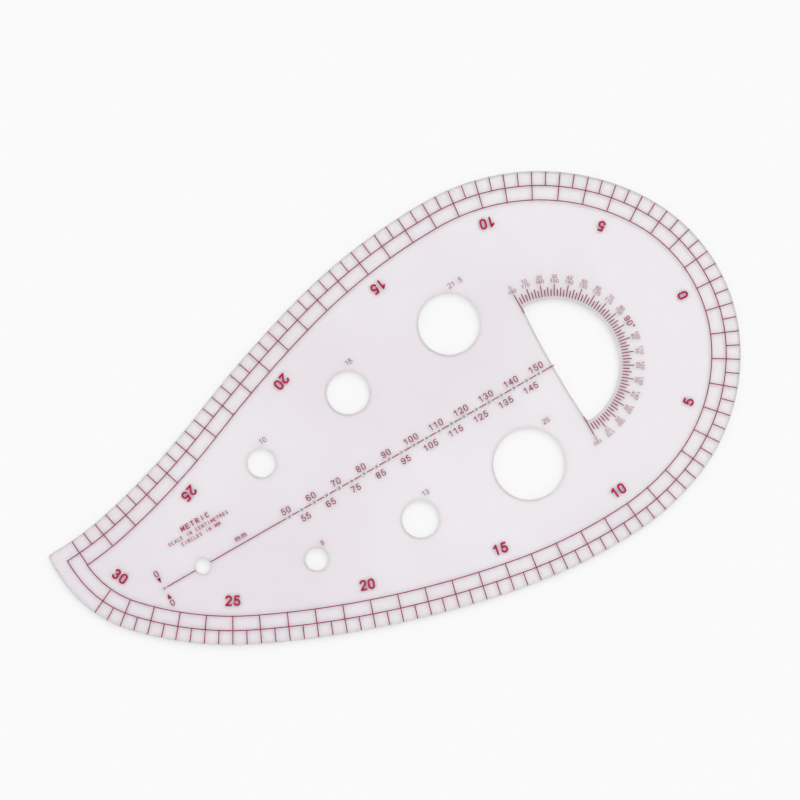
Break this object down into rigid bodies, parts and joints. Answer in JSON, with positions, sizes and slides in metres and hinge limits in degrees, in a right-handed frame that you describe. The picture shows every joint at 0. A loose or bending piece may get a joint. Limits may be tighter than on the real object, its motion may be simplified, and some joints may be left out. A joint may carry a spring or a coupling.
{
  "type": "french curve",
  "caption": "Clear pear-shaped drawing template with a graduated curved edge, a line of compass holes, circle guides and a D-shaped protractor opening.",
  "frame": {"origin": "middle of the sheet's outline box, on its underside", "axes": "+X along the compass line from the pivot hole to the round protractor end, +Y towards the pointed tip's side, +Z out of the printed face"},
  "size_m": [0.2518, 0.1363, 0.0015],
  "materials": {
    "clear_plastic": "clear polished sheet with a faint pink cast and cut, slightly frosted edges",
    "printed_ink": "thin printed ink, crimson, satin"
  },
  "bodies": {
    "root": {"curve_sheet": "clear_plastic", "outer_scale_line": "printed_ink", "inner_scale_line": "printed_ink", "upper_scale_ticks": "printed_ink", "lower_scale_ticks": "printed_ink", "upper_scale_numerals": "printed_ink", "lower_scale_numerals": "printed_ink", "compass_line": "printed_ink", "compass_tens_numerals": "printed_ink", "compass_fives_numerals": "printed_ink", "compass_zero_marks": "printed_ink", "compass_unit_mark": "printed_ink", "circle_guide_numerals": "printed_ink", "protractor_ticks": "printed_ink", "protractor_outer_numerals": "printed_ink", "protractor_inner_numerals": "printed_ink", "right_angle_mark": "printed_ink", "caption": "printed_ink"}
  },
  "joints": []
}
